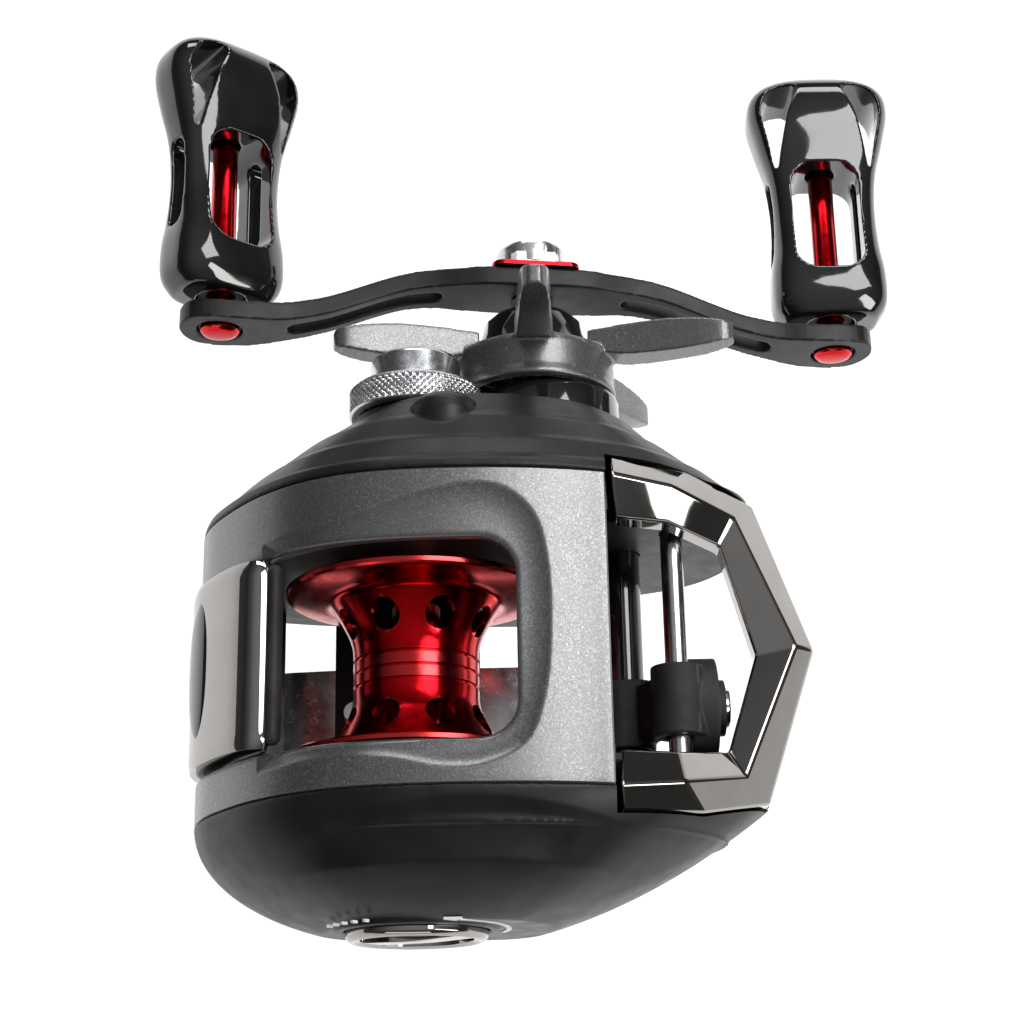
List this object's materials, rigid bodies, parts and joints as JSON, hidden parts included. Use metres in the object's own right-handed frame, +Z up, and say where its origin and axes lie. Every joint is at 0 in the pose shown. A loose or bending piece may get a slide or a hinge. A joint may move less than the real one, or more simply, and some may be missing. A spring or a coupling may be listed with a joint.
{
  "type": "baitcasting reel",
  "caption": "Low-profile baitcasting reel: ventilated spool in a covered frame, geared crank handle with skeleton knobs, star drag, level wind, brake dial and thumb bar.",
  "frame": {"origin": "middle of the reel foot's flat underside", "axes": "+X forward, the way the line leaves; +Y along the spool and drive shafts towards the handle; +Z up, away from the rod"},
  "size_m": [0.106, 0.1239, 0.0507],
  "materials": {
    "gunmetal_flake": "gunmetal grey paint with a fine silver flake under clear coat",
    "satin_black": "satin black, slightly soft sheen",
    "gloss_black": "high-gloss black",
    "texture_black": "finely textured black moulding",
    "dark_chrome": "smoked chrome plating, mirror-bright",
    "red_anodised": "bright red anodised, turned aluminium",
    "silver_aluminium": "machined silver aluminium",
    "steel": "polished stainless steel",
    "brass": "cut brass",
    "carbon_fibre": "woven carbon friction washer",
    "nylon": "moulded dark nylon",
    "magnet_nickel": "nickel-plated magnet"
  },
  "bodies": {
    "frame": {"frame": "satin_black", "top_cover": "gunmetal_flake", "nose_guard": "dark_chrome", "gear_side_plate": "satin_black", "palm_side_plate": "satin_black", "reel_foot": "silver_aluminium", "foot_rivet_1": "steel", "foot_rivet_2": "steel", "gear_plate_screw_1": "steel", "gear_plate_screw_2": "steel", "gear_plate_screw_3": "steel", "spool_bearing_palm": "steel", "spool_bearing_gear": "steel", "yoke_post_1": "steel", "yoke_post_2": "steel", "yoke_spring_1": "steel", "yoke_spring_2": "steel", "drive_shaft_bearing": "steel", "one_way_bearing": "steel", "worm_tube": "gloss_black", "guide_rod": "steel"},
    "spool": {"spool": "red_anodised", "spool_shaft": "steel", "brake_inductor": "silver_aluminium"},
    "yoke": {"pinion_yoke": "nylon"},
    "pinion": {"pinion_gear": "brass"},
    "handle": {"drive_shaft": "steel", "roller_sleeve": "steel", "level_wind_drive_gear": "nylon", "drag_pressure_plate": "steel", "drag_spring_washer": "steel", "handle_arm": "satin_black", "nut_retainer": "red_anodised", "handle_nut": "silver_aluminium", "knob_post_a": "red_anodised", "knob_post_b": "red_anodised"},
    "drive_gear": {"main_gear": "brass", "drag_washer_inner": "carbon_fibre", "drag_washer_outer": "carbon_fibre"},
    "star_drag": {"star_drag": "gunmetal_flake", "drag_nut": "brass"},
    "knob_a": {"knob_a": "gloss_black", "knob_bush_a": "nylon"},
    "knob_b": {"knob_b": "gloss_black", "knob_bush_b": "nylon"},
    "worm": {"worm_shaft": "steel", "worm_gear": "nylon"},
    "line_guide": {"line_guide": "texture_black", "line_guide_ring": "steel", "line_guide_pawl": "brass", "pawl_cap": "steel"},
    "thumb_bar": {"thumb_bar": "dark_chrome", "clutch_cam": "steel"},
    "tension_knob": {"tension_knob": "silver_aluminium"},
    "brake_dial": {"brake_dial": "dark_chrome", "brake_cam": "nylon"},
    "magnet_carrier": {"magnet_carrier": "nylon", "brake_magnet_1": "magnet_nickel", "brake_magnet_2": "magnet_nickel", "brake_magnet_3": "magnet_nickel"}
  },
  "joints": [
    {"name": "handle_spin", "type": "hinge", "parent": "frame", "child": "handle", "pos_m": [0.0117, 0.05, 0.01673], "axis": [0, 1, 0], "continuous": true},
    {"name": "drive_gear_spin", "type": "hinge", "parent": "frame", "child": "drive_gear", "pos_m": [0.0117, 0.023, 0.01673], "axis": [0, 1, 0], "continuous": true},
    {"name": "spool_spin", "type": "hinge", "parent": "frame", "child": "spool", "pos_m": [-0.004, 0, 0.024], "axis": [0, 1, 0], "continuous": true},
    {"name": "worm_spin", "type": "hinge", "parent": "frame", "child": "worm", "pos_m": [0.0225, 0, 0.01988], "axis": [0, 1, 0], "continuous": true},
    {"name": "thumb_press", "type": "slide", "parent": "frame", "child": "thumb_bar", "axis": [0, 0, -1], "range_m": [0, 0.0035]},
    {"name": "yoke_slide", "type": "slide", "parent": "frame", "child": "yoke", "axis": [0, 1, 0], "range_m": [0, 0.0014]},
    {"name": "pinion_spin", "type": "hinge", "parent": "yoke", "child": "pinion", "pos_m": [-0.004, 0.023, 0.024], "axis": [0, 1, 0], "continuous": true},
    {"name": "star_turn", "type": "hinge", "parent": "handle", "child": "star_drag", "pos_m": [0.0117, 0.043, 0.01673], "axis": [0, 1, 0], "range_deg": [-180, 180]},
    {"name": "knob_a_spin", "type": "hinge", "parent": "handle", "child": "knob_a", "pos_m": [0.05378, 0.07, 0.01075], "axis": [0, 1, 0], "continuous": true},
    {"name": "knob_b_spin", "type": "hinge", "parent": "handle", "child": "knob_b", "pos_m": [-0.03038, 0.07, 0.02272], "axis": [0, 1, 0], "continuous": true},
    {"name": "line_guide_travel", "type": "slide", "parent": "frame", "child": "line_guide", "axis": [0, 1, 0], "range_m": [-0.0003, 0.0132]},
    {"name": "tension_turn", "type": "hinge", "parent": "frame", "child": "tension_knob", "pos_m": [-0.004, 0.037, 0.024], "axis": [0, 1, 0], "range_deg": [-180, 180]},
    {"name": "dial_turn", "type": "hinge", "parent": "frame", "child": "brake_dial", "pos_m": [-0.004, -0.031, 0.024], "axis": [0, 1, 0], "range_deg": [0, 270]},
    {"name": "magnet_slide", "type": "slide", "parent": "frame", "child": "magnet_carrier", "axis": [0, 1, 0], "range_m": [0, 0.0012]}
  ],
  "couplings": [
    {"joint": "drive_gear_spin", "follows": "handle_spin", "ratio": 1},
    {"joint": "spool_spin", "follows": "handle_spin", "ratio": -6.3333},
    {"joint": "pinion_spin", "follows": "handle_spin", "ratio": -6.3333},
    {"joint": "worm_spin", "follows": "handle_spin", "ratio": -1.1429},
    {"joint": "yoke_slide", "follows": "thumb_press", "ratio": 0.4},
    {"joint": "dial_turn", "follows": "magnet_slide", "rad_per_m": 3927}
  ]
}
